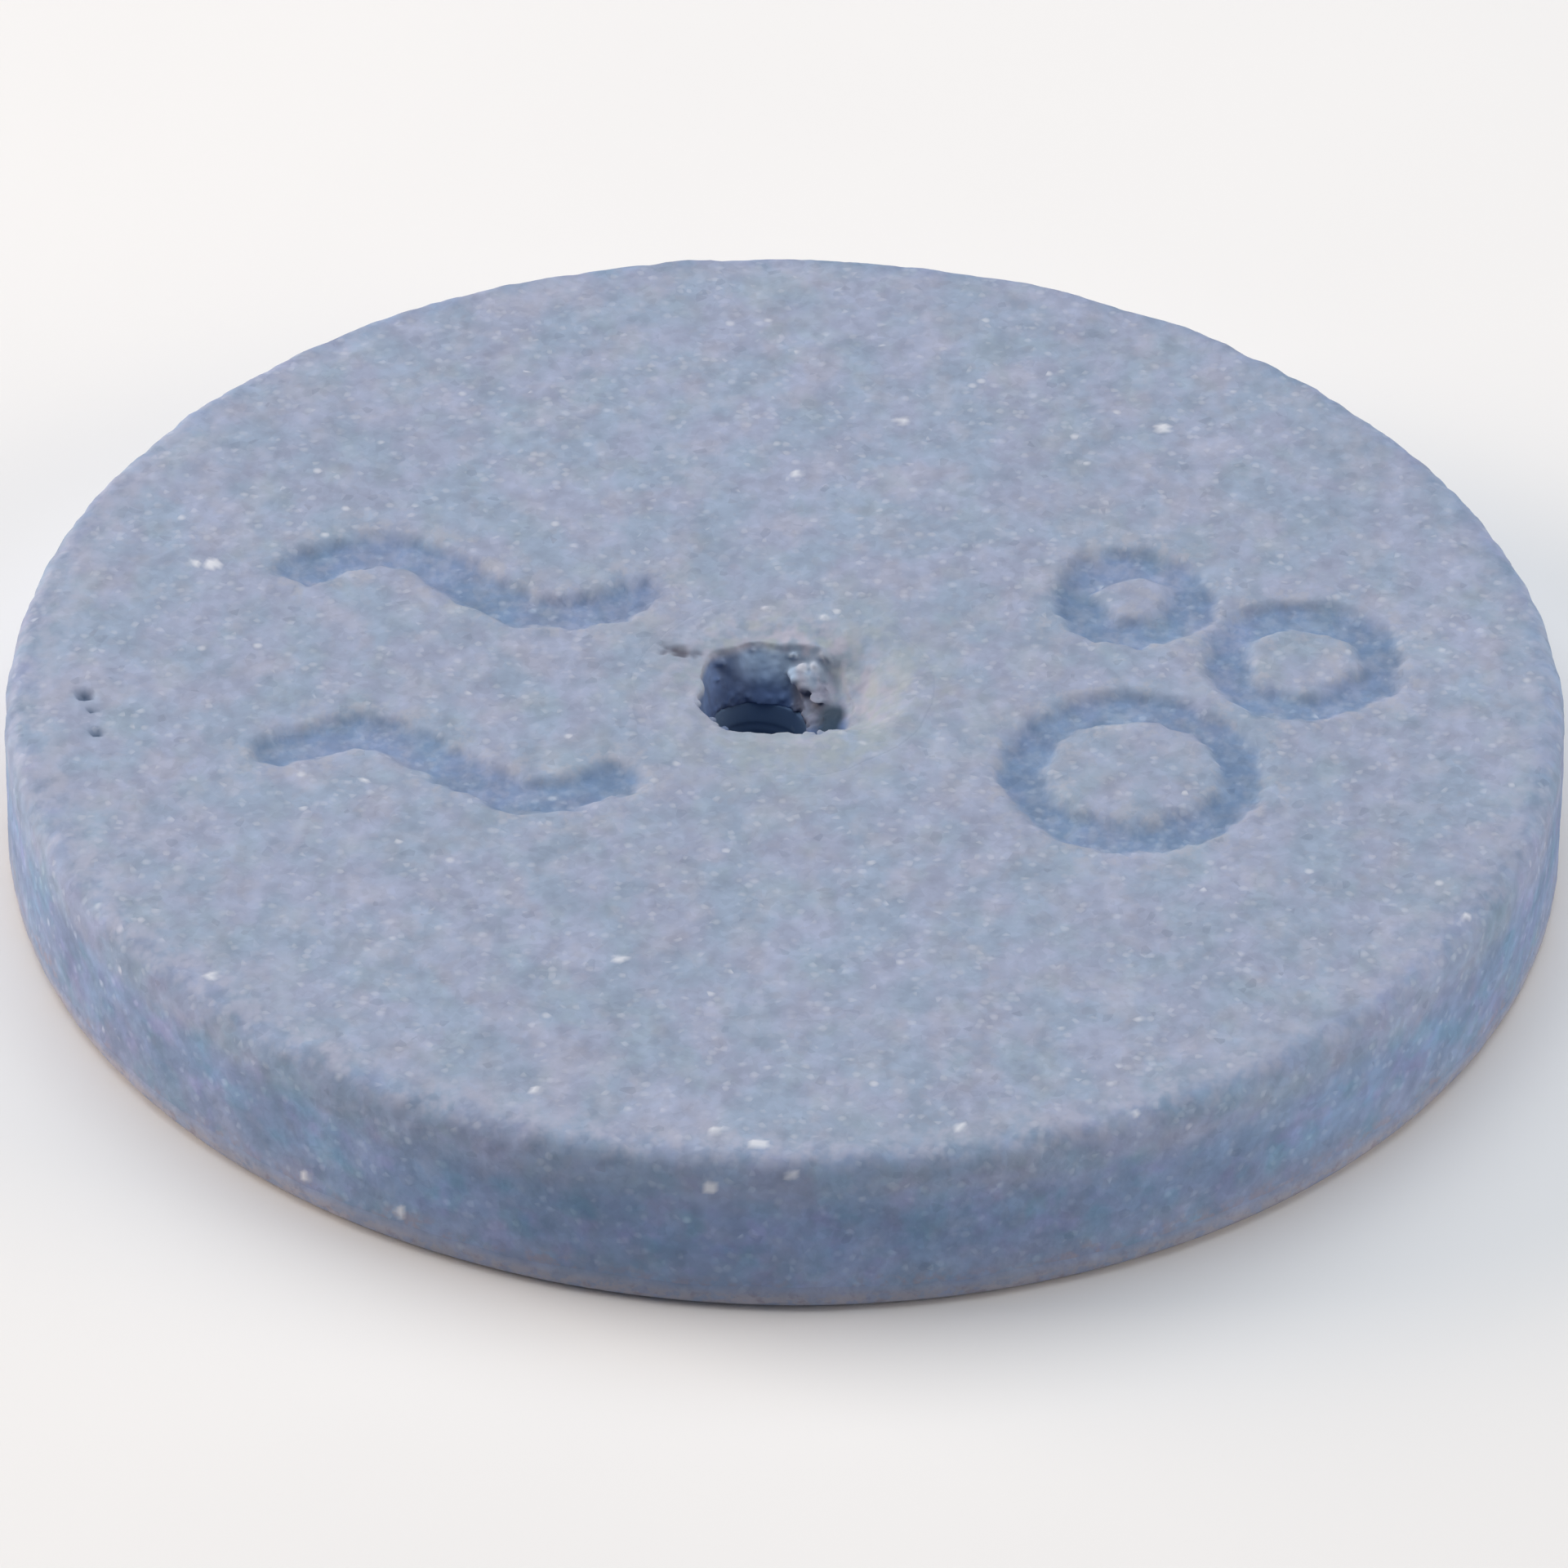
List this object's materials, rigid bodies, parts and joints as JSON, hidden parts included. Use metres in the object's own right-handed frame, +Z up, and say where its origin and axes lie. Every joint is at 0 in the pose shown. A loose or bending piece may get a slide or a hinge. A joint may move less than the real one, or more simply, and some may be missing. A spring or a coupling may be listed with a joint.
{
  "type": "air stone",
  "caption": "Flat round porous mineral disc that spreads pumped air as fine bubbles, with a recessed airline inlet in its top face.",
  "frame": {"origin": "centre of the underside, on the surface that the disc rests on", "axes": "+Z up through the top face that gives off the bubbles; the two pressed marks lie along X, waves at -X and bubbles at +X; -Y faces the viewer"},
  "size_m": [0.1, 0.1, 0.0115],
  "materials": {
    "bonded_blue_grain": "porous, granular, matt",
    "grain_in_resin": "rough grain, partly wetted by resin",
    "sealing_coat": "dense resin coat with fine grain in it",
    "dense_mineral": "fine, dense, matt",
    "cured_resin": "clear yellowish, glossy",
    "moulded_plastic": "satin moulded plastic",
    "soft_rubber": "matt soft rubber"
  },
  "bodies": {
    "root": {"stone_body": "bonded_blue_grain", "inlet_collar": "grain_in_resin", "base_coat": "sealing_coat", "closing_plate": "dense_mineral", "plate_bond_ring": "cured_resin", "inlet_bush": "moulded_plastic", "bush_gasket": "soft_rubber", "inlet_grommet": "soft_rubber"}
  },
  "joints": []
}
